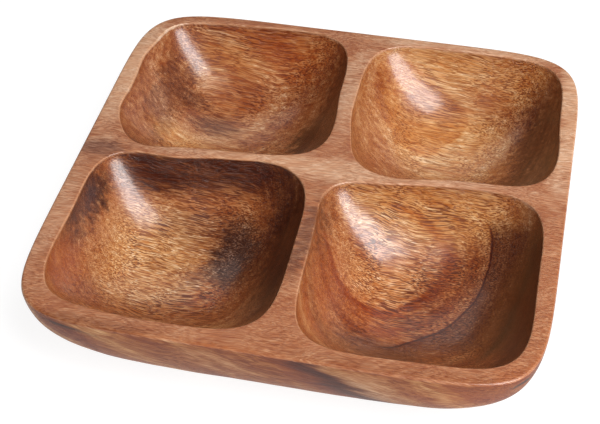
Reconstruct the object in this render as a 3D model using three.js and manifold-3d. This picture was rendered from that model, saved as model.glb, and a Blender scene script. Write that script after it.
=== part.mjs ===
// A square serving tray for chips and dips, carved from one block of hardwood: four bowls
// in a flat rim, with an underside that curves in to a round flat base.
// Millimetres, +Z up. The origin lies under the middle of the rim, level with the base, and the
// front is at -Y.
import * as THREE from 'three';
import { mergeVertices } from 'three/addons/utils/BufferGeometryUtils.js';
import Module from 'manifold-3d';

// Driving dimensions of the block.
const WIDTH = 254; // across the rim, left to right
const LENGTH = 254; // across the rim, front to back
const HEIGHT = 50;
const BASE_WIDTH = 133; // across the round flat that it rests on, left to right
const BASE_LENGTH = 133; // across the same flat, front to back
const BASE_SHIFT = 4; // how far the flat lies to the right of the rim's middle
const RIM_SQUARENESS = 7.9; // superellipse exponent of the rim's outline
const BASE_SQUARENESS = 2; // exponent of the base's outline, which is round
const SQUARENESS_FALL = 0.48; // how late the section turns from square to round
const SIDE_FULLNESS = 2.33; // exponent of the side's curve: a larger one stays upright longer
const RIM_EDGE = 1.2; // radius of the broken edge round the rim

// Driving dimensions of the bowls.
const BOWL_DEPTH = 37;
const SIDE_RIM = 8.7; // rim left at the left and right
const FRONT_RIM = 9.3;
const BACK_RIM = 5.6;
const SIDE_DIVIDER = 6.4; // wall between the left and right bowls
const CROSS_DIVIDER = 3.8; // wall between the front and back bowls
const DIVIDER_CROSSING = { x: 2.7, y: 5.2 }; // where the two walls cross
const MOUTH_SQUARENESS = 4.6;
const FLOOR_SQUARENESS = 2.3;
const WALL_STEEPNESS = 1.3; // exponent of the wall's start below the lip
const FLOOR_FULLNESS = 2.6; // exponent of the wall's run into the floor
const LIP_EDGE = 0.8; // width and depth of the broken edge round each mouth
const TOOL_RISE = 2; // how far each bowl's cutter stands above the rim

// The bowls are scooped by hand, so each one sits a little askew in its cell, and its lip
// wanders: a swell [at, out, over] moves the lip out by `out` around the angle `at`,
// fading over `over` degrees. Angles run anticlockwise from +X, seen from above.
const BOWLS = [
  {
    name: 'front_left', side: -1, end: -1, askew: 0.5,
    swells: [[60, 2.5, 12], [110, -4.5, 18], [170, -1.5, 28], [-125, -2.5, 20]],
  },
  {
    name: 'front_right', side: 1, end: -1, askew: 1.5,
    swells: [[55, 2.5, 34], [120, -2.5, 16], [140, 3.5, 14], [-110, 0.5, 28]],
  },
  {
    name: 'back_left', side: -1, end: 1, askew: 3.5,
    swells: [[0, -1, 16], [145, -3, 10], [-155, 2.5, 12], [-125, 3.5, 12]],
  },
  {
    name: 'back_right', side: 1, end: 1, askew: 0,
    swells: [[-145, -3.5, 17], [-115, 3.5, 17], [-65, -2.5, 26], [-30, 2.5, 23]],
  },
];

// Fineness of the faceted surfaces.
const BLOCK_SIDES = 80;
const BOWL_SIDES = 52;
const CORNER_BUNCH = 0.5; // how much closer together the facets are at the corners
const SIDE_RINGS = 11;
const WALL_RINGS = 9;
const WALL_RING_SPREAD = 0.9; // exponent of the wall rings' spacing: below 1, more of them lie low
const FLOOR_SPOT = 1 / 3; // size of a bowl's lowest ring, as a share of the next one's
const SWELL_FADE = 3; // exponent of how fast a swell dies away below the lip
const RING_RADIUS = 1; // radius of a profile's rings before they take their real outlines
const MERGE_GAP = 1e-4; // points closer than this are one

const WOOD = new THREE.MeshStandardMaterial({
  name: 'acacia',
  color: 0x9a6038,
  roughness: 0.38,
  metalness: 0,
});

// Distance from the centre to a unit superellipse, in the direction `angle`.
function squareReach(angle, squareness) {
  const across = Math.abs(Math.cos(angle)) ** squareness;
  const along = Math.abs(Math.sin(angle)) ** squareness;
  return (across + along) ** (-1 / squareness);
}

// Turns a profile of rings into a closed surface. Each ring is { halfX, halfY, z, squareness }
// with an optional shift to the right, from the bottom up, and `wander` gives how far out its
// outline moves at an angle.
function ringSurface(rings, sides, wander = () => 0) {
  const bottom = rings[0].z;
  const top = rings[rings.length - 1].z;
  const profile = rings.map((ring, i) => new THREE.Vector2(RING_RADIUS, i));
  profile.unshift(new THREE.Vector2(0, 0));
  profile.push(new THREE.Vector2(0, rings.length - 1));
  const surface = new THREE.LatheGeometry(profile, sides);
  const place = surface.attributes.position;
  for (let i = 0; i < place.count; i += 1) {
    const across = place.getZ(i);
    const along = place.getX(i);
    const level = Math.round(place.getY(i));
    const ring = rings[level];
    const onAxis = Math.hypot(across, along) < RING_RADIUS / 2;
    if (onAxis) {
      place.setXYZ(i, ring.shift ?? 0, 0, level === 0 ? bottom : top);
    } else {
      const even = Math.atan2(along, across);
      const angle = even + (CORNER_BUNCH / 4) * Math.sin(4 * even);
      const reach = squareReach(angle, ring.squareness);
      const out = wander(angle, ring);
      const x = (ring.shift ?? 0) + (ring.halfX * reach + out) * Math.cos(angle);
      const y = (ring.halfY * reach + out) * Math.sin(angle);
      place.setXYZ(i, x, y, ring.z);
    }
  }
  return surface;
}

// The rings of the block, from the round base up to the rim.
function blockRings() {
  const rings = [];
  for (let i = 0; i <= SIDE_RINGS; i += 1) {
    const down = Math.sin((Math.PI / 2) * (1 - i / SIDE_RINGS)) ** (2 / SIDE_FULLNESS);
    const tuck = 1 - (1 - down ** SIDE_FULLNESS) ** (1 / SIDE_FULLNESS);
    const squareness =
      BASE_SQUARENESS + (RIM_SQUARENESS - BASE_SQUARENESS) * (1 - down) ** SQUARENESS_FALL;
    rings.push({
      halfX: WIDTH / 2 - (tuck * (WIDTH - BASE_WIDTH)) / 2,
      halfY: LENGTH / 2 - (tuck * (LENGTH - BASE_LENGTH)) / 2,
      z: (HEIGHT - RIM_EDGE) * (1 - down),
      squareness,
      shift: BASE_SHIFT * tuck,
    });
  }
  rings.push({
    halfX: WIDTH / 2 - RIM_EDGE,
    halfY: LENGTH / 2 - RIM_EDGE,
    z: HEIGHT,
    squareness: RIM_SQUARENESS,
  });
  return rings;
}

// The cell that a bowl's mouth fills: from the rim on its outer sides to the dividers.
function bowlCell({ side, end }) {
  const outerX = side * (WIDTH / 2 - SIDE_RIM);
  const outerY = end * (LENGTH / 2 - (end < 0 ? FRONT_RIM : BACK_RIM));
  const innerX = DIVIDER_CROSSING.x + (side * SIDE_DIVIDER) / 2;
  const innerY = DIVIDER_CROSSING.y + (end * CROSS_DIVIDER) / 2;
  return {
    x: (outerX + innerX) / 2,
    y: (outerY + innerY) / 2,
    halfX: Math.abs(outerX - innerX) / 2,
    halfY: Math.abs(outerY - innerY) / 2,
  };
}

// The rings of a bowl's cutter, from its floor up to just above the rim.
function bowlRings(cell) {
  const rings = [];
  for (let i = 0; i <= WALL_RINGS; i += 1) {
    const down = Math.cos((Math.PI / 2) * (i / WALL_RINGS)) ** WALL_RING_SPREAD;
    const share = (1 - down ** WALL_STEEPNESS) ** (1 / FLOOR_FULLNESS);
    rings.push({
      halfX: (cell.halfX - LIP_EDGE) * share,
      halfY: (cell.halfY - LIP_EDGE) * share,
      z: HEIGHT - LIP_EDGE - (BOWL_DEPTH - LIP_EDGE) * down,
      squareness: FLOOR_SQUARENESS + (MOUTH_SQUARENESS - FLOOR_SQUARENESS) * (1 - down),
      share,
    });
  }
  for (const rise of [0, TOOL_RISE]) {
    rings.push({
      halfX: cell.halfX + rise,
      halfY: cell.halfY + rise,
      z: HEIGHT + rise,
      squareness: MOUTH_SQUARENESS,
      share: 1,
    });
  }
  // The lowest ring would have no size, so the floor starts with a small flat spot.
  rings[0].halfX = rings[1].halfX * FLOOR_SPOT;
  rings[0].halfY = rings[1].halfY * FLOOR_SPOT;
  return rings;
}

// How far the swells move a lip at an angle, less towards the floor.
function lipWander(swells) {
  return (angle, ring) => {
    let out = 0;
    for (const [at, by, over] of swells) {
      const away = Math.atan2(
        Math.sin(angle - THREE.MathUtils.degToRad(at)),
        Math.cos(angle - THREE.MathUtils.degToRad(at)),
      );
      out += by * Math.exp(-((THREE.MathUtils.radToDeg(away) / over) ** 2));
    }
    return out * ring.share ** SWELL_FADE;
  };
}

function bowlCutter(bowl) {
  const cell = bowlCell(bowl);
  const cutter = ringSurface(bowlRings(cell), BOWL_SIDES, lipWander(bowl.swells));
  cutter.rotateZ(THREE.MathUtils.degToRad(bowl.askew));
  cutter.translate(cell.x, cell.y, 0);
  return cutter;
}

// Boolean cuts.
const wasm = await Module();
wasm.setup();

function toSolid(geometry) {
  const bare = geometry.clone();
  bare.deleteAttribute('normal');
  bare.deleteAttribute('uv');
  const merged = mergeVertices(bare, MERGE_GAP);
  return new wasm.Manifold(new wasm.Mesh({
    numProp: 3,
    vertProperties: merged.attributes.position.array,
    triVerts: new Uint32Array(merged.index.array),
  }));
}

function toGeometry(solid) {
  const mesh = solid.getMesh();
  const geometry = new THREE.BufferGeometry();
  geometry.setAttribute('position', new THREE.BufferAttribute(mesh.vertProperties, 3));
  geometry.setIndex(new THREE.BufferAttribute(mesh.triVerts, 1));
  geometry.computeVertexNormals();
  return geometry;
}

function carvedTray() {
  let solid = toSolid(ringSurface(blockRings(), BLOCK_SIDES));
  for (const bowl of BOWLS) {
    solid = solid.subtract(toSolid(bowlCutter(bowl)));
  }
  const tray = new THREE.Mesh(toGeometry(solid), WOOD);
  tray.name = 'carved_tray';
  return tray;
}

const server = new THREE.Group();
server.name = 'chip_and_dip_server';
server.add(carvedTray());

export default server;
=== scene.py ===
# A carved chip and dip server: one block of acacia with four bowls, on a pale studio floor.
import math

import bmesh
import bpy
from mathutils import Matrix, Vector, noise
from mathutils.geometry import delaunay_2d_cdt


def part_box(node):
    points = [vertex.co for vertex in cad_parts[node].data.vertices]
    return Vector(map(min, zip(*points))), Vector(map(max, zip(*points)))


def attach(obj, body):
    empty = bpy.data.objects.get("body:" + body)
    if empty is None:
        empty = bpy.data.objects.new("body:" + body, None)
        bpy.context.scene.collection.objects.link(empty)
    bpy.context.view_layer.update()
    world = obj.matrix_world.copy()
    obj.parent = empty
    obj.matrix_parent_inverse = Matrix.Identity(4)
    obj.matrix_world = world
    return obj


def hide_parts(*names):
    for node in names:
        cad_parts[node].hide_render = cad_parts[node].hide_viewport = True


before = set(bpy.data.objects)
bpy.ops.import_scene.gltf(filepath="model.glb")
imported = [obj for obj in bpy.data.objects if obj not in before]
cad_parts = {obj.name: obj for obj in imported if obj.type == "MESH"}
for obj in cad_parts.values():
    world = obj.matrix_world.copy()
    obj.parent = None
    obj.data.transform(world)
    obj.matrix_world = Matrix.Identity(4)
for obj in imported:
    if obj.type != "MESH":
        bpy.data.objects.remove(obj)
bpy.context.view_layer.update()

low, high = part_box("carved_tray")

# Lengths are in millimetres, except in the studio at the end, which is in metres.
MM = 0.001

# The block. Its size comes from the frame, and its curves are those of the CAD.
WIDTH = (high[0] - low[0]) / MM
LENGTH = (high[1] - low[1]) / MM
HEIGHT = (high[2] - low[2]) / MM
BASE_WIDTH = 133  # across the round flat that it rests on
BASE_SHIFT = 4  # how far the flat lies to the right of the rim's middle
RIM_SQUARENESS = 7.9  # superellipse exponent of the rim's outline
BASE_SQUARENESS = 2  # exponent of the base's outline, which is round
SQUARENESS_FALL = 0.48  # how late the section turns from square to round
SIDE_FULLNESS = 2.33  # exponent of the side's curve: a larger one stays upright longer
RIM_EDGE = 1.3  # radius of the rounded edge round the rim

# The bowls.
BOWL_DEPTH = 37
SIDE_RIM = 8.7  # rim left at the left and right
FRONT_RIM = 9.3
BACK_RIM = 5.6
SIDE_DIVIDER = 6.4  # wall between the left and right bowls
CROSS_DIVIDER = 3.8  # wall between the front and back bowls
CROSSING_X = 2.7  # where the two walls cross
CROSSING_Y = 5.2
MOUTH_SQUARENESS = 4.6
FLOOR_SQUARENESS = 2.3
WALL_STEEPNESS = 1.3  # exponent of the wall's start below the lip
FLOOR_FULLNESS = 2.6  # exponent of the wall's run into the floor
LIP_EDGE = 0.9  # radius of the rounded edge round each mouth
SWELL_FADE = 3  # exponent of how fast a swell dies away below the lip

# Each bowl sits a little askew in its cell, and its lip wanders: a swell (at, out, over)
# moves the lip out by `out` around the angle `at`, fading over `over` degrees.
BOWLS = {
    "front_left": dict(
        side=-1, end=-1, askew=0.5,
        swells=[(60, 2.5, 12), (110, -4.5, 18), (170, -1.5, 28), (-125, -2.5, 20)],
    ),
    "front_right": dict(
        side=1, end=-1, askew=1.5,
        swells=[(55, 2.5, 34), (120, -2.5, 16), (140, 3.5, 14), (-110, 0.5, 28)],
    ),
    "back_left": dict(
        side=-1, end=1, askew=3.5,
        swells=[(0, -1, 16), (145, -3, 10), (-155, 2.5, 12), (-125, 3.5, 12)],
    ),
    "back_right": dict(
        side=1, end=1, askew=0,
        swells=[(-145, -3.5, 17), (-115, 3.5, 17), (-65, -2.5, 26), (-30, 2.5, 23)],
    ),
}

# Fineness of the surfaces.
BLOCK_SIDES = 288
BOWL_SIDES = 208
SIDE_RINGS = 40
WALL_RINGS = 52
EDGE_STEPS = 5
BASE_RINGS = (0.8, 0.55, 0.3, 0.1)  # sizes of the rings on the base, as shares of its width
CORNER_BUNCH = 0.5  # how much closer together the points are at the corners
TOP_SPACING = 4.0  # between the points on the flat rim
TOP_MARGIN = 1.4  # kept clear of them next to an outline
MERGE_GAP = 1e-6  # points of the flat rim closer than this are one

# The unevenness left by carving and sanding.
BROAD_WAVE = (24, 0.5)  # size and height of the slow swells
FINE_WAVE = (9, 0.13)  # and of the quicker ones on top of them
FINE_WAVE_SHIFT = 71  # reads the quicker ones elsewhere in the noise
WAVE_START = 1.5  # how far below the rim the waves start
WAVE_GROWTH = 9  # over what further depth they grow to their full height
OUTSIDE_WAVE = 0.6  # share of the waves that the outside has
OUTSIDE_SINK = 0.25  # about how far the outside lies inside the plain form
OUTSIDE_FLATTENING = 8  # height over which that and the waves outside fade out to the base
FACING_OUT = 0.05  # points of the block whose normals rise less than this only move inwards
RISING_REACH = 120  # and so do those further than this from the middle
RISING_FLOOR = 2  # and those lower than this
DIP_DEPTH = 0.14  # the most that the sanded rim dips
DIP_SIZE = 34
DIP_SLICE = 3.7  # which slice of the noise the dips are read from
DIP_REACH = 6  # how far below the rim the dips still move the surface


def square_reach(angle, squareness):
    """Distance from the centre to a unit superellipse, in a direction."""
    across = abs(math.cos(angle)) ** squareness
    along = abs(math.sin(angle)) ** squareness
    return (across + along) ** (-1 / squareness)


def angles(sides):
    """Directions round an outline, closer together at its corners."""
    even = [2 * math.pi * i / sides for i in range(sides)]
    return [a + CORNER_BUNCH / 4 * math.sin(4 * a) for a in even]


def bowl_cell(side, end):
    """Centre and half sizes of the cell that a bowl's mouth fills."""
    outer_x = side * (WIDTH / 2 - SIDE_RIM)
    outer_y = end * (LENGTH / 2 - (FRONT_RIM if end < 0 else BACK_RIM))
    inner_x = CROSSING_X + side * SIDE_DIVIDER / 2
    inner_y = CROSSING_Y + end * CROSS_DIVIDER / 2
    centre = ((outer_x + inner_x) / 2, (outer_y + inner_y) / 2)
    return centre, (abs(outer_x - inner_x) / 2, abs(outer_y - inner_y) / 2)


def wander(angle, swells):
    """How far the hand-cut lip stands out from its plain outline, in a direction."""
    out = 0
    for at, by, over in swells:
        away = math.degrees(math.remainder(angle - math.radians(at), 2 * math.pi))
        out += by * math.exp(-((away / over) ** 2))
    return out


def hand_wave(point, size, amount):
    """A slow unevenness left by carving and sanding, from -amount to amount."""
    return amount * noise.noise(Vector(point) / size)


def top_dip(x, y):
    """How far the sanded rim lies below its highest level."""
    slow = noise.noise(Vector((x / DIP_SIZE, y / DIP_SIZE, DIP_SLICE)))
    return DIP_DEPTH * (0.5 + 0.5 * slow)


def bowl_ring(bowl, grow, share, depth, squareness):
    """One ring round a bowl: grown by `grow` past its cell, and shrunk to a share of that."""
    (cx, cy), (half_x, half_y) = bowl_cell(bowl["side"], bowl["end"])
    turn = math.radians(bowl["askew"])
    ring = []
    for a in angles(BOWL_SIDES):
        reach = square_reach(a, squareness)
        out = wander(a, bowl["swells"]) * share ** SWELL_FADE
        x = ((half_x + grow) * share * reach + out) * math.cos(a)
        y = ((half_y + grow) * share * reach + out) * math.sin(a)
        px = cx + x * math.cos(turn) - y * math.sin(turn)
        py = cy + x * math.sin(turn) + y * math.cos(turn)
        ring.append((px, py, HEIGHT - depth))
    return ring


def bowl_rings(bowl):
    """The rings of a bowl from its lip to its floor. The first lies on the flat rim."""
    rings = []
    for i in range(EDGE_STEPS + 1):
        turn = math.pi / 2 * i / EDGE_STEPS
        grow = -LIP_EDGE * math.sin(turn)
        drop = LIP_EDGE * (1 - math.cos(turn))
        rings.append(bowl_ring(bowl, grow, 1, drop, MOUTH_SQUARENESS))
    for i in range(1, WALL_RINGS):
        share = math.cos(math.pi / 2 * i / WALL_RINGS)
        down = (1 - share ** FLOOR_FULLNESS) ** (1 / WALL_STEEPNESS)
        squareness = FLOOR_SQUARENESS + (MOUTH_SQUARENESS - FLOOR_SQUARENESS) * (1 - down)
        depth = LIP_EDGE + (BOWL_DEPTH - LIP_EDGE) * down
        rings.append(bowl_ring(bowl, -LIP_EDGE, share, depth, squareness))
    return rings


def block_rings():
    """The rings of the block from its flat rim, over its side, to its base."""
    rings = []
    for i in range(EDGE_STEPS + 1):
        turn = math.pi / 2 * i / EDGE_STEPS
        inset = RIM_EDGE * (1 - math.sin(turn))
        drop = RIM_EDGE * (1 - math.cos(turn))
        rings.append((inset, drop, RIM_SQUARENESS, 0))
    for i in range(1, SIDE_RINGS + 1):
        down = math.sin(math.pi / 2 * i / SIDE_RINGS) ** (2 / SIDE_FULLNESS)
        tuck = 1 - (1 - down ** SIDE_FULLNESS) ** (1 / SIDE_FULLNESS)
        spread = RIM_SQUARENESS - BASE_SQUARENESS
        squareness = BASE_SQUARENESS + spread * (1 - down) ** SQUARENESS_FALL
        inset = tuck * (WIDTH - BASE_WIDTH) / 2
        rings.append((inset, RIM_EDGE + (HEIGHT - RIM_EDGE) * down, squareness, tuck))
    for share in BASE_RINGS:
        inset = WIDTH / 2 - BASE_WIDTH / 2 * share
        rings.append((inset, HEIGHT, BASE_SQUARENESS, 1))
    outlines = []
    for inset, depth, squareness, tuck in rings:
        ring = []
        for a in angles(BLOCK_SIDES):
            reach = square_reach(a, squareness)
            x = (WIDTH / 2 - inset) * reach * math.cos(a) + BASE_SHIFT * tuck
            y = (LENGTH / 2 - inset) * reach * math.sin(a)
            ring.append((x, y, HEIGHT - depth))
        outlines.append(ring)
    return outlines


def inside(x, y, outline):
    """Whether a point lies inside a closed outline."""
    hit = False
    previous = outline[-1]
    for point in outline:
        if (point[1] > y) != (previous[1] > y):
            cross = (previous[0] - point[0]) * (y - point[1]) / (previous[1] - point[1])
            if x < cross + point[0]:
                hit = not hit
        previous = point
    return hit


def close_to(x, y, outline, gap):
    """Whether a point is closer than a gap to an outline."""
    return any(abs(p[0] - x) < gap and abs(p[1] - y) < gap for p in outline)


def add_rings(mesh, rings, centre):
    """Adds rings joined by quads and closed to a centre point. Returns the first ring."""
    rows = [[mesh.verts.new(p) for p in ring] for ring in rings]
    for upper, lower in zip(rows, rows[1:]):
        for i, corner in enumerate(upper):
            back = (i - 1) % len(upper)
            mesh.faces.new((upper[back], corner, lower[i], lower[back]))
    tip = mesh.verts.new(centre)
    last = rows[-1]
    for i, corner in enumerate(last):
        mesh.faces.new((last[i - 1], corner, tip))
    return rows[0]


def add_top(mesh, edge, lips):
    """Fills the flat rim between the block's edge and the four lips."""
    loops = [edge] + lips
    verts = [v for loop in loops for v in loop]
    flat = [Vector((v.co.x, v.co.y)) for v in verts]
    lines = []
    start = 0
    for loop in loops:
        count = len(loop)
        lines += [(start + i, start + (i + 1) % count) for i in range(count)]
        start += count
    outlines = [[(v.co.x, v.co.y) for v in loop] for loop in loops]
    steps = int(WIDTH / 2 / TOP_SPACING)
    for i in range(-steps, steps + 1):
        for j in range(-steps, steps + 1):
            x = (i + 0.5 * (j % 2)) * TOP_SPACING
            y = j * TOP_SPACING
            if not inside(x, y, outlines[0]) or any(inside(x, y, o) for o in outlines[1:]):
                continue
            if any(close_to(x, y, o, TOP_MARGIN) for o in outlines):
                continue
            flat.append(Vector((x, y)))
            verts.append(mesh.verts.new((x, y, HEIGHT)))
    points, _, faces, origins, _, _ = delaunay_2d_cdt(flat, lines, [], 1, MERGE_GAP)
    for face in faces:
        middle = sum((points[k] for k in face), Vector((0, 0))) / 3
        if any(inside(middle.x, middle.y, o) for o in outlines[1:]):
            continue
        mesh.faces.new([verts[origins[k][0]] for k in face])


def carve(mesh, block_count):
    """Gives the smooth form the slight unevenness of a hand-sanded tray.

    The first `block_count` points are those of the block's side and base.
    """
    mesh.normal_update()
    moves = []
    for v in mesh.verts:
        x, y, z = v.co
        fine_wave = hand_wave((x + FINE_WAVE_SHIFT, y, z), *FINE_WAVE)
        wave = hand_wave((x, y, z), *BROAD_WAVE) + fine_wave
        fade = min(1, max(0, (HEIGHT - z - WAVE_START) / WAVE_GROWTH))
        faces_out = v.index < block_count and v.normal.z < FACING_OUT
        if max(abs(x), abs(y)) < RISING_REACH and z > RISING_FLOOR and not faces_out:
            moves.append(v.normal * wave * fade)
        else:
            # The outside only moves inwards, so that it stays within the CAD's box.
            inward = min(0, wave * OUTSIDE_WAVE - OUTSIDE_SINK)
            moves.append(v.normal * (inward * fade * min(1, z / OUTSIDE_FLATTENING)))
    for v, move in zip(mesh.verts, moves):
        near_top = max(0, 1 - (HEIGHT - v.co.z) / DIP_REACH)
        v.co += move - Vector((0, 0, top_dip(v.co.x, v.co.y) * near_top))


def tray_mesh():
    """The whole carved block as one closed surface, in metres."""
    mesh = bmesh.new()
    block = block_rings()
    edge = add_rings(mesh, block, (BASE_SHIFT, 0, 0))
    lips = []
    for bowl in BOWLS.values():
        (cx, cy), _ = bowl_cell(bowl["side"], bowl["end"])
        lips.append(add_rings(mesh, bowl_rings(bowl), (cx, cy, HEIGHT - BOWL_DEPTH)))
    add_top(mesh, edge, lips)
    mesh.verts.index_update()
    bmesh.ops.recalc_face_normals(mesh, faces=mesh.faces[:])
    carve(mesh, sum(len(ring) for ring in block))
    bmesh.ops.scale(mesh, vec=(MM, MM, MM), verts=mesh.verts[:])
    for face in mesh.faces:
        face.smooth = True
    data = bpy.data.meshes.new("tray")
    mesh.to_mesh(data)
    mesh.free()
    return data


tray = bpy.data.objects.new("tray", tray_mesh())
bpy.context.scene.collection.objects.link(tray)

# ---- wood ----
# The colours of the wood, linear.
PLAIN = (0.31, 0.090, 0.024)
SANDED = (0.41, 0.150, 0.060)  # the dry, sanded rim
OUTSIDE = (0.27, 0.075, 0.014)
HEARTWOOD = (0.085, 0.016, 0.004)
VESSELS = (0.075, 0.018, 0.005)
COLOURS = {
    "pale": (0.62, 0.29, 0.10),
    "gold": (0.49, 0.200, 0.060),
    "tan": (0.40, 0.165, 0.065),
    "pink": (0.64, 0.350, 0.200),
    "cream": (0.80, 0.56, 0.38),
    "orange": (0.38, 0.095, 0.018),
    "brown": (0.11, 0.026, 0.008),
    "red": (0.060, 0.008, 0.001),
    "dark": (0.018, 0.005, 0.002),
    "grey": (0.050, 0.014, 0.007),
    "plum": (0.17, 0.055, 0.026),
}

# Stains in the bowls: colour, middle and reach in millimetres (up from the base), strength.
# The dark tints on the bowls' right walls, which face away from the window lamp, are partly
# dark wood and partly painted shade.
BOWL_STAINS_AND_SHADE = [
    # Front left.
    ("gold", (-84, -46, 14), (36, 46, 22), 0.90),
    ("brown", (-56, -20, 18), (34, 12, 12), 0.45),
    ("red", (-56, 4, 42), (72, 20, 19), 0.97),
    ("red", (-86, -6, 43), (26, 15, 15), 0.95),
    ("dark", (-116, -26, 38), (12, 16, 16), 0.90),
    ("red", (-119, -40, 42), (13, 36, 20), 0.92),
    # Partly painted shade: the right wall faces away from the window lamp.
    ("red", (-8, -46, 34), (23, 58, 26), 0.98),
    ("grey", (-37, -36, 16), (18, 25, 14), 0.92),
    ("orange", (-46, -62, 14), (12, 12, 9), 0.90),
    ("gold", (-34, -98, 26), (26, 16, 16), 0.50),
    ("orange", (-116, -84, 36), (13, 22, 18), 0.60),
    ("brown", (-84, -110, 34), (36, 10, 14), 0.60),
    # Front right.
    ("gold", (58, -4, 38), (54, 20, 24), 0.90),
    ("pale", (62, -4, 37), (52, 14, 18), 0.50),
    ("orange", (52, -52, 14), (38, 44, 20), 0.80),
    ("brown", (66, -50, 12), (14, 40, 12), 0.30),
    ("gold", (38, -34, 14), (23, 24, 16), 0.35),
    ("brown", (46, -86, 16), (34, 13, 14), 0.80),
    ("orange", (14, -66, 34), (14, 42, 22), 0.70),
    ("brown", (106, -14, 38), (20, 20, 20), 0.30),
    ("orange", (82, -100, 30), (28, 14, 18), 0.70),
    # Partly painted shade: the right wall faces away from the window lamp.
    ("red", (114, -60, 34), (14, 56, 26), 0.96),
    # Back left.
    ("tan", (-62, 66, 26), (72, 68, 34), 0.55),
    ("brown", (-108, 78, 36), (7, 34, 20), 0.55),
    ("brown", (-95, 92, 32), (5, 28, 16), 0.45),
    ("pale", (-92, 44, 20), (28, 16, 16), 0.80),
    ("brown", (-100, 70, 30), (7, 46, 13), 0.50),
    ("orange", (-46, 114, 36), (60, 20, 22), 0.60),
    ("gold", (-62, 62, 14), (36, 30, 14), 0.30),
    ("orange", (-44, 84, 22), (44, 36, 20), 0.40),
    ("gold", (-78, 104, 34), (30, 16, 18), 0.60),
    ("brown", (-52, 30, 28), (40, 9, 14), 0.75),
    ("brown", (-92, 80, 21), (13, 9, 10), 0.60),
    ("brown", (-74, 68, 15), (15, 9, 9), 0.65),
    # The next three are partly painted shade on the right wall, which faces away from the
    # window lamp.
    ("dark", (-17, 50, 27), (13, 22, 16), 0.85),
    ("red", (-6, 48, 30), (18, 36, 26), 0.90),
    ("brown", (-2, 84, 36), (12, 36, 22), 0.80),
    # Back right.
    ("pale", (56, 78, 14), (48, 40, 20), 0.85),
    ("pale", (44, 116, 38), (46, 18, 24), 0.75),
    ("gold", (96, 112, 38), (26, 18, 24), 0.60),
    ("gold", (14, 76, 36), (18, 46, 24), 0.35),
    ("pale", (26, 94, 28), (9, 30, 16), 0.60),
    # Partly painted shade: the right wall faces away from the window lamp.
    ("brown", (108, 62, 34), (19, 54, 26), 0.90),
    ("brown", (96, 38, 24), (20, 14, 16), 0.70),
]
SIDE_STAINS = [
    ("tan", (-26, -124, 38), (24, 14, 12), 0.55),
    ("tan", (50, -122, 34), (16, 16, 14), 0.60),
    ("orange", (92, -122, 36), (26, 18, 14), 0.45),
    ("dark", (-96, -126, 45), (26, 8, 1.6), 0.65),
    ("dark", (118, -118, 44.5), (9, 11, 1.8), 0.85),
]
# Tints of the rim. The pink ones are partly pinkish sanded wood and partly painted sheen of
# the back lamp, lighter towards the back and middle. The brown ones at the front are partly
# painted shade where that sheen is missing.
RIM_STAINS_AND_SHEEN = [
    ("pink", (-122, 70, 50), (13, 76, 8), 1.00),
    ("plum", (-118, -4, 50), (15, 9, 8), 0.80),
    ("pink", (-124, -56, 50), (9, 50, 8), 0.50),
    ("pink", (123, 70, 50), (10, 80, 9), 1.00),
    ("plum", (2, 74, 50), (5, 34, 6), 0.35),
    ("pink", (60, 123, 50), (80, 7, 9), 0.80),
    ("pink", (4, 74, 50), (8, 52, 8), 0.60),
    ("pink", (4, 6, 50), (110, 12, 6), 0.80),
    ("brown", (3, -46, 50), (7, 40, 8), 0.65),
    ("brown", (-88, -123, 50), (44, 7, 8), 0.40),
    ("brown", (60, -123, 50), (60, 5, 8), 0.20),
]

# Soft ellipsoids are given by their middle, their reach and two shares of the reach: they are
# full up to the first and end at the second.
SOFT = (0.35, 1.2)
CLEAR_FIGURE = [  # where the dark vessels show most clearly
    ((-66, -50, 18), (52, 52, 34), SOFT),
    ((56, -34, 26), (52, 54, 40), SOFT),
]
WORN_LIP = ((-114, 80, 50), (16, 50, 12), (0.6, 1.1))  # pale, left of the back left bowl
FRONT_RIGHT = ((62, -56, 24), (64, 64, 60), (0.85, 1.0))  # the front right bowl
HEART = ((96, -56, 20), (62, 62, 44), (0.8, 1.0))  # its dark right half
HEART_GAP = ((84, -92, 22), (34, 20, 18), SOFT)  # where that is less dark

# Noises of the figure: how often each repeats in a millimetre, along the grain (X) and across
# it where it has three directions, then its detail and its roughness.
STREAKS = ((0.030, 0.40, 0.40), 3, 0.55)
DASHES = ((0.10, 1.85, 1.85), 1, 0.5)
DASH_PATCHES = ((0.05, 0.05, 0.05), 1, 0.5)
HAIRS = ((0.16, 1.9, 1.9), 2, 0.6)
RING_BANDS = (0.085, 3, 0.55)
FINE_RING_BANDS = (0.55, 3, 0.6)
SLANT_BANDS = (0.045, 2, 0.5)

# Noises that move things: how often each repeats in a millimetre, and about twice how far it
# moves them.
FIBRE_BENDS = ((0.022, 0.030, 0.030), (0, 11, 11))
STAIN_BENDS = ((0.018, 0.018, 0.018), (14, 14, 14))
RING_BENDS = ((0.022, 0.022, 0.022), (9, 9, 9))
FEATHERS = ((0.03, 0.25, 0.25), (24, 4, 4), 2, 0.6)  # with its detail and roughness
FIBRE_DIVE = 0.13  # how steeply the layers of fibres slope

# Growth rings are nearly flat layers, tilted to the right and to the front. The numbers are
# distances in this direction: of a ring with its fade, or of where a zone starts and is full.
RING_TILT = (0.39, -0.46, 1.0)
BLACK_RING = (72.6, 0.9)
CORE_RING = (58.5, 2.5)
LEFT_WALL_RING = (80, 6)
RIGHT_WALL_RING = (101, 5)
HEART_START = (71.0, 74.0)
CORE_INWARD = (58, 51)
CORE_OUTWARD = (58, 63)
LEFT_WALL = (66, 48)  # in X
RIGHT_WALL = (90, 102)  # in X

# The outside's own figure: the direction across its bands, and for its one dark band the
# direction across it, and its place in that direction with its fade.
SLANT = (0.75, 0.35, 1.0)
SLANT_SHIFT = -22
KNOT_SLANT = (0.75, 0.0, 1.0)
KNOT = (64, 13)

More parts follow.
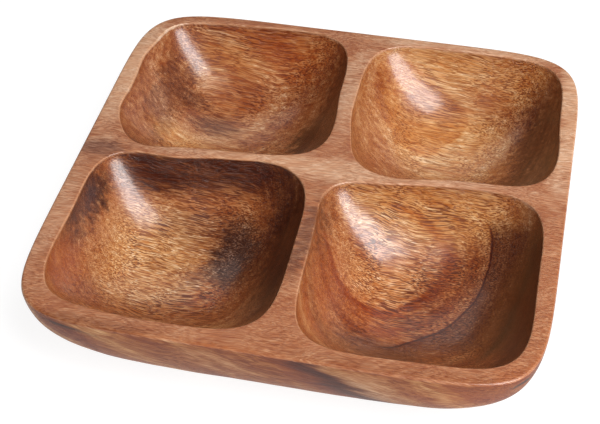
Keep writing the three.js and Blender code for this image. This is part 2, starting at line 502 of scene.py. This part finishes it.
# Where the looks change: each starts at the first number and is full at the second.
RIM_ZONE = (HEIGHT - 1.4, HEIGHT - 0.5)  # in Z
EDGE_ZONE = (HEIGHT - 1.9, HEIGHT - 0.9)  # in Z
LIPS_ZONE = (123.0, 121.0)  # in distance from the lips' middle: leaves out the block's edge
LIPS_MIDDLE_Y = 2.0  # where that middle lies
OUTER_FACING = (0.3, 0.0)  # in how far up the surface faces
EDGE_FACING = (0.985, 0.90)  # in the same
SIDE_FACING = (0.25, 0.80)  # in how far left or right it faces
BACK_HALF = (0, 12)  # in Y
DASH_NOISE = (0.50, 0.565)
PATCH_NOISE = (0.35, 0.65)

# How strongly places are tinted.
EDGE_PINK = 0.35
WORN_CREAM = 0.8
HEART_TINT = 0.70
GAP_TINT = 0.35  # share of that left in the heart's gap
CORE_GOLD = 0.1
CORE_SURROUND_BROWN = 0.12
LEFT_RING_BROWN = 0.45
RIGHT_RING_DARK = 0.7
KNOT_BROWN = 0.85

# How strongly each part of the figure deepens the colour, or from where to where it does.
RING_BAND_DEPTH = 1.2
FINE_RING_BAND_DEPTH = 0.35
SLANT_BAND_DEPTH = 2.2
STREAK_DEPTH = (0.9, 1.5)  # in the front half, in the back half
HAIR_DEPTH = (1.1, 0.6)  # in the bowls and on the rim, outside
CLEAR_HAIR_DEPTH = 1.0  # added where the figure is clear
DASH_DEPTH = (0.45, 0.70)  # in plain wood, where the figure is clear
CLEAR_DEPTH = -0.10
CORE_RING_DEPTH = 0.45
BLACK_RING_DEPTH = 0.9
CALM = 0.5  # share of the bands and streaks left on the rim, outside and in the heart
DRY_DASHES = 0.5  # share of the dashes left on the rim and outside
END_DASHES = 0.45  # share of the dashes left where the wall cuts across the grain
FEW_DASHES = 0.45  # share of them left between their patches

# The finish: lacquered in the bowls, drier on the rim and outside.
ROUGHNESS = 0.28
DASH_ROUGHNESS = 0.12
RIM_DRYNESS = 0.10
OUTSIDE_DRYNESS = 0.25
COAT = 0.65
COAT_END = 0.2  # dryness at which no coat is left
COAT_ROUGHNESS = 0.19
HAIR_BUMP = 0.6
BUMP_STRENGTH = 0.6
BUMP_DISTANCE = 0.00025  # in metres

# Sockets of a Mix node that mixes colours.
MIX_A = 6
MIX_B = 7
MIX_RESULT = 2


class Nodes:
    """Short ways to add the nodes of one material."""

    def __init__(self, tree):
        self.tree = tree

    def add(self, kind, **settings):
        node = self.tree.nodes.new("ShaderNode" + kind)
        for key, value in settings.items():
            setattr(node, key, value)
        return node

    def feed(self, socket, value):
        """Links a socket to another one, or sets it to a number, vector or colour."""
        if isinstance(value, bpy.types.NodeSocket):
            self.tree.links.new(value, socket)
        elif socket.type == "RGBA":
            socket.default_value = (*value, 1)
        else:
            socket.default_value = value

    def math(self, operation, a, b=0.0):
        node = self.add("Math", operation=operation)
        self.feed(node.inputs[0], a)
        self.feed(node.inputs[1], b)
        return node.outputs[0]

    def plus(self, *values):
        total = values[0]
        for value in values[1:]:
            total = self.math("ADD", total, value)
        return total

    def times(self, *values):
        product = values[0]
        for value in values[1:]:
            product = self.math("MULTIPLY", product, value)
        return product

    def rest(self, value):
        """What the value lacks to one."""
        return self.math("SUBTRACT", 1.0, value)

    def vector(self, operation, a, b=(0, 0, 0)):
        node = self.add("VectorMath", operation=operation)
        self.feed(node.inputs[0], a)
        self.feed(node.inputs[1], b)
        return node.outputs["Value" if operation in ("LENGTH", "DOT_PRODUCT") else "Vector"]

    def split(self, vector):
        """The three parts of a vector."""
        node = self.add("SeparateXYZ")
        self.feed(node.inputs[0], vector)
        return node.outputs["X"], node.outputs["Y"], node.outputs["Z"]

    def noise(self, point, scale, detail, roughness, output="Fac"):
        """Noise that repeats `scale` times in a unit of `point`, along each axis."""
        node = self.add("TexNoise")
        self.feed(node.inputs["Vector"], self.vector("MULTIPLY", point, scale))
        self.feed(node.inputs["Scale"], 1.0)
        self.feed(node.inputs["Detail"], detail)
        self.feed(node.inputs["Roughness"], roughness)
        return node.outputs[output]

    def line_noise(self, value, scale, detail, roughness):
        """Noise along one line, which `value` measures."""
        node = self.add("TexNoise", noise_dimensions="1D")
        self.feed(node.inputs["W"], value)
        self.feed(node.inputs["Scale"], scale)
        self.feed(node.inputs["Detail"], detail)
        self.feed(node.inputs["Roughness"], roughness)
        return node.outputs["Fac"]

    def shift(self, point, scale, amount, detail=2.0, roughness=0.5):
        """A vector of noise, up to about half of `amount` long along each axis."""
        free = self.noise(point, scale, detail, roughness, "Color")
        return self.vector("MULTIPLY", self.vector("SUBTRACT", free, (0.5, 0.5, 0.5)), amount)

    def warp(self, point, scale, amount):
        """The point moved by such a vector."""
        return self.vector("ADD", point, self.shift(point, scale, amount))

    def span(self, value, ends, results=(0.0, 1.0)):
        """Goes smoothly between two results while the value goes between two ends."""
        node = self.add("MapRange", interpolation_type="SMOOTHSTEP")
        self.feed(node.inputs["Value"], value)
        self.feed(node.inputs["From Min"], ends[0])
        self.feed(node.inputs["From Max"], ends[1])
        self.feed(node.inputs["To Min"], results[0])
        self.feed(node.inputs["To Max"], results[1])
        return node.outputs["Result"]

    def fade(self, share, start, end):
        """Goes from `start` to `end` while a share goes from nothing to one."""
        return self.span(share, (0, 1), (start, end))

    def line(self, value, at, width):
        """One where the value is `at`, falling to nothing at `width` to both sides."""
        away = self.math("ABSOLUTE", self.math("SUBTRACT", value, at))
        return self.span(away, (0.0, width), (1, 0))

    def spot(self, point, middle, reach, ends=SOFT):
        """One inside a soft ellipsoid, falling to nothing at its edge."""
        away = self.vector("SUBTRACT", point, middle)
        share = self.vector("MULTIPLY", away, tuple(1 / r for r in reach))
        return self.span(self.vector("LENGTH", share), ends, (1, 0))

    def mix(self, amount, a, b):
        node = self.add("Mix", data_type="RGBA")
        self.feed(node.inputs["Factor"], amount)
        self.feed(node.inputs[MIX_A], a)
        self.feed(node.inputs[MIX_B], b)
        return node.outputs[MIX_RESULT]

    def tint(self, colour, name, strength, *where):
        """The colour turned towards a named one, as far as `strength`, in some places."""
        return self.mix(self.times(*where, strength), colour, COLOURS[name])

    def gamma(self, colour, amount):
        """The colour made deeper and redder above an amount of one, paler below it."""
        node = self.add("Gamma")
        self.feed(node.inputs["Color"], colour)
        self.feed(node.inputs["Gamma"], amount)
        return node.outputs["Color"]

    def about(self, value, amount):
        """Noise around its middle, turned over, so that high noise makes the wood paler."""
        return self.times(self.math("SUBTRACT", 0.5, value), amount)


def fibres(n, point):
    """The point as the grain sees it: the fibres run along X, with a slope and waves."""
    waved = n.warp(point, *FIBRE_BENDS)
    dive = n.add("CombineXYZ")
    n.feed(dive.inputs["Z"], n.times(n.split(waved)[0], FIBRE_DIVE))
    return n.vector("ADD", waved, dive.outputs[0])


def stains_and_painted_light(n, point, bent, face_up, rim, outer, in_bowl):
    """The plain colours of rim, bowls and outside, with worn edges and every stain, along with
    painted shade on the bowls' right walls and a painted sheen towards the back of the rim.
    """
    x, y, z = n.split(point)
    colour = n.mix(outer, n.mix(rim, PLAIN, SANDED), OUTSIDE)
    away_y = n.math("ABSOLUTE", n.plus(y, -LIPS_MIDDLE_Y))
    away = n.math("MAXIMUM", n.math("ABSOLUTE", x), away_y)
    edge = n.times(n.span(z, EDGE_ZONE), n.span(away, LIPS_ZONE), n.span(face_up, EDGE_FACING))
    edge = n.times(edge, n.rest(outer))
    colour = n.tint(colour, "pink", EDGE_PINK, edge)
    colour = n.tint(colour, "cream", WORN_CREAM, edge, n.spot(point, *WORN_LIP))
    for tints, where in ((BOWL_STAINS_AND_SHADE, in_bowl), (SIDE_STAINS, outer), (RIM_STAINS_AND_SHEEN, rim)):
        for name, middle, reach, strength in tints:
            colour = n.tint(colour, name, strength, n.spot(bent, middle, reach), where)
    return colour


def ringed(n, colour, point, tilted, heart, in_bowl):
    """The colour with the front right bowl's rings, and how strong its heartwood is."""
    x, _, _ = n.split(point)

    # The dark heart of the bowl starts at one thin black ring.
    past = n.times(n.span(tilted, HEART_START), heart, in_bowl)
    past = n.times(past, n.fade(n.spot(point, *HEART_GAP), 1, GAP_TINT))
    colour = n.mix(n.times(past, HEART_TINT), colour, HEARTWOOD)

    # The rings below it go round the golden floor, and those above it show on the walls.
    bowl = n.times(n.spot(point, *FRONT_RIGHT), in_bowl)
    colour = n.tint(colour, "gold", CORE_GOLD, bowl, n.span(tilted, CORE_INWARD))
    colour = n.tint(colour, "brown", CORE_SURROUND_BROWN, bowl, n.span(tilted, CORE_OUTWARD))
    left = n.times(n.line(tilted, *LEFT_WALL_RING), n.span(x, LEFT_WALL))
    right = n.times(n.line(tilted, *RIGHT_WALL_RING), n.span(x, RIGHT_WALL))
    colour = n.tint(colour, "brown", LEFT_RING_BROWN, bowl, left)
    colour = n.tint(colour, "dark", RIGHT_RING_DARK, bowl, right)
    return colour, past, n.times(bowl, n.line(tilted, *CORE_RING))


def acacia():
    """Oiled and lacquered acacia: its grain runs along X through the whole block."""
    wood = bpy.data.materials.new("acacia")
    wood.use_nodes = True
    n = Nodes(wood.node_tree)
    shader = wood.node_tree.nodes["Principled BSDF"]
    place = n.add("TexCoord")
    point = n.vector("MULTIPLY", place.outputs["Object"], (1 / MM,) * 3)
    _, y, z = n.split(point)
    face_side, _, face_up = n.split(place.outputs["Normal"])

    # The rim, the outside with the steepest top of the bowls' walls, and the bowls.
    rim = n.span(z, RIM_ZONE)
    outer = n.span(face_up, OUTER_FACING)
    in_bowl = n.times(n.rest(rim), n.rest(outer))

    grain = fibres(n, point)
    streak = n.noise(grain, *STREAKS)
    dashes = n.span(n.noise(grain, *DASHES), DASH_NOISE)
    hairs = n.noise(grain, *HAIRS)
    patches = n.span(n.noise(point, *DASH_PATCHES), PATCH_NOISE, (FEW_DASHES, 1))

    # Stains, and the painted shade and sheen among them, have edges that feather out along the
    # fibres.
    feather = n.shift(grain, *FEATHERS)
    bent = n.vector("ADD", n.warp(point, *STAIN_BENDS), feather)
    colour = stains_and_painted_light(n, point, bent, face_up, rim, outer, in_bowl)

    tilted = n.vector("DOT_PRODUCT", n.warp(point, *RING_BENDS), RING_TILT)
    band = n.line_noise(tilted, *RING_BANDS)
    fine_band = n.line_noise(tilted, *FINE_RING_BANDS)
    heart = n.spot(point, *HEART)
    black_ring = n.times(n.line(tilted, *BLACK_RING), heart, in_bowl)
    colour, past, core_ring = ringed(n, colour, point, tilted, heart, in_bowl)

    # The outside is cut across the figure, which crosses it in broad slanting bands.
    slanted = n.vector("DOT_PRODUCT", bent, SLANT)
    slant_band = n.line_noise(n.plus(slanted, SLANT_SHIFT), *SLANT_BANDS)
    knot = n.line(n.vector("DOT_PRODUCT", bent, KNOT_SLANT), *KNOT)
    colour = n.tint(colour, "brown", KNOT_BROWN, knot, outer)

    clear = n.math("MAXIMUM", *(n.spot(point, *figure) for figure in CLEAR_FIGURE))
    clear = n.times(clear, in_bowl)
    side_on = n.span(n.math("ABSOLUTE", face_side), SIDE_FACING, (1, END_DASHES))
    dash = n.times(dashes, patches, side_on)
    dash = n.times(dash, n.fade(n.plus(rim, outer), 1, DRY_DASHES))
    dark_dash = n.times(dash, n.fade(clear, *DASH_DEPTH))
    calm = n.fade(n.plus(rim, outer, past), 1, CALM)
    hair_depth = n.plus(n.fade(outer, *HAIR_DEPTH), n.times(clear, CLEAR_HAIR_DEPTH))
    depth = n.plus(
        1.0,
        n.times(calm, n.about(band, RING_BAND_DEPTH)),
        n.times(outer, n.about(slant_band, SLANT_BAND_DEPTH)),
        n.about(fine_band, FINE_RING_BAND_DEPTH),
        n.times(calm, n.about(streak, n.span(y, BACK_HALF, STREAK_DEPTH))),
        n.about(hairs, hair_depth),
        dark_dash,
        n.times(clear, CLEAR_DEPTH),
        n.times(core_ring, CORE_RING_DEPTH),
        n.times(black_ring, BLACK_RING_DEPTH),
    )
    colour = n.mix(dark_dash, n.gamma(colour, depth), VESSELS)
    n.feed(shader.inputs["Base Color"], colour)

    dry = n.plus(n.times(rim, RIM_DRYNESS), n.times(outer, OUTSIDE_DRYNESS))
    roughness = n.plus(ROUGHNESS, n.times(dash, DASH_ROUGHNESS), dry)
    n.feed(shader.inputs["Roughness"], roughness)
    n.feed(shader.inputs["Coat Weight"], n.span(dry, (0, COAT_END), (COAT, 0.0)))
    shader.inputs["Coat Roughness"].default_value = COAT_ROUGHNESS
    bump = n.add("Bump")
    bump.inputs["Strength"].default_value = BUMP_STRENGTH
    bump.inputs["Distance"].default_value = BUMP_DISTANCE
    n.feed(bump.inputs["Height"], n.math("SUBTRACT", n.times(hairs, HAIR_BUMP), dashes))
    n.feed(shader.inputs["Normal"], bump.outputs["Normal"])
    return wood


tray.data.materials.append(acacia())

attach(tray, "root")
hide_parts("carved_tray")


# ---- studio ----
# Lengths are in metres and angles in degrees from here on.
FLOOR_REACH = 40  # from the middle of the floor to its edges
FLOOR_DROP = 0.0002  # keeps the floor and the base out of one plane
FLOOR_GREY = 0.2
FLOOR_GLOW = 0.9
FLOOR_ROUGHNESS = 0.9
WORLD_GLOW = 0.05
VIEW_AZIMUTH = 12.8  # from the front towards the right
VIEW_ELEVATION = 42.53
VIEW_ROLL = -0.68
VIEW_DISTANCE = 0.71357
VIEW_TARGET = Vector((-0.00321, -0.03049, HEIGHT * MM))
VIEW_LENS = 85.65  # in millimetres, and so is the next
SENSOR_WIDTH = 36
WHITE = (1, 1, 1, 1)


def new_object(name, data):
    made = bpy.data.objects.new(name, data)
    bpy.context.scene.collection.objects.link(made)
    return made


def look_from(azimuth, elevation):
    """Unit vector towards a viewer at an azimuth right of the front and an elevation."""
    a = math.radians(azimuth)
    e = math.radians(elevation)
    return Vector((math.sin(a) * math.cos(e), -math.cos(a) * math.cos(e), math.sin(e)))


def aim(direction, roll=0):
    """Rotation of a camera or lamp that looks against a direction."""
    right = Vector((0, 0, 1)).cross(direction).normalized()
    up = direction.cross(right)
    turn = math.radians(roll)
    across = right * math.cos(turn) + up * math.sin(turn)
    above = up * math.cos(turn) - right * math.sin(turn)
    return Matrix((across, above, direction)).transposed().to_4x4()


def softbox(name, azimuth, elevation, distance, size, power):
    """A rectangular lamp that shines on the tray from a direction."""
    data = bpy.data.lights.new(name, "AREA")
    data.shape = "RECTANGLE"
    data.size, data.size_y = size
    data.energy = power
    way = look_from(azimuth, elevation)
    new_object(name, data).matrix_world = Matrix.Translation(way * distance) @ aim(way)


def paper():
    """The matt floor, which glows a little so that it shows white, as in the photo."""
    made = bpy.data.materials.new("paper")
    made.use_nodes = True
    shader = made.node_tree.nodes["Principled BSDF"]
    shader.inputs["Base Color"].default_value = (FLOOR_GREY, FLOOR_GREY, FLOOR_GREY, 1)
    shader.inputs["Roughness"].default_value = FLOOR_ROUGHNESS
    shader.inputs["Emission Color"].default_value = WHITE
    shader.inputs["Emission Strength"].default_value = FLOOR_GLOW
    return made


floor_mesh = bmesh.new()
bmesh.ops.create_grid(floor_mesh, x_segments=2, y_segments=2, size=FLOOR_REACH)
floor_data = bpy.data.meshes.new("floor")
floor_mesh.to_mesh(floor_data)
floor_mesh.free()
floor = new_object("floor", floor_data)
floor.location.z = -FLOOR_DROP
floor.data.materials.append(paper())

world = bpy.data.worlds.new("studio")
world.use_nodes = True
world.node_tree.nodes["Background"].inputs["Color"].default_value = WHITE
world.node_tree.nodes["Background"].inputs["Strength"].default_value = WORLD_GLOW
bpy.context.scene.world = world

softbox("window", azimuth=56, elevation=49, distance=1.5, size=(0.84, 1.46), power=37.5)
softbox("back_wall", azimuth=195, elevation=43, distance=2.0, size=(2.4, 0.7), power=3.6)

camera_data = bpy.data.cameras.new("camera")
camera_data.lens = VIEW_LENS
camera_data.sensor_width = SENSOR_WIDTH
camera = new_object("camera", camera_data)
view_way = look_from(VIEW_AZIMUTH, VIEW_ELEVATION)
camera_place = Matrix.Translation(VIEW_TARGET + view_way * VIEW_DISTANCE)
camera.matrix_world = camera_place @ aim(view_way, VIEW_ROLL)
bpy.context.scene.camera = camera
bpy.context.scene.view_settings.view_transform = "Standard"
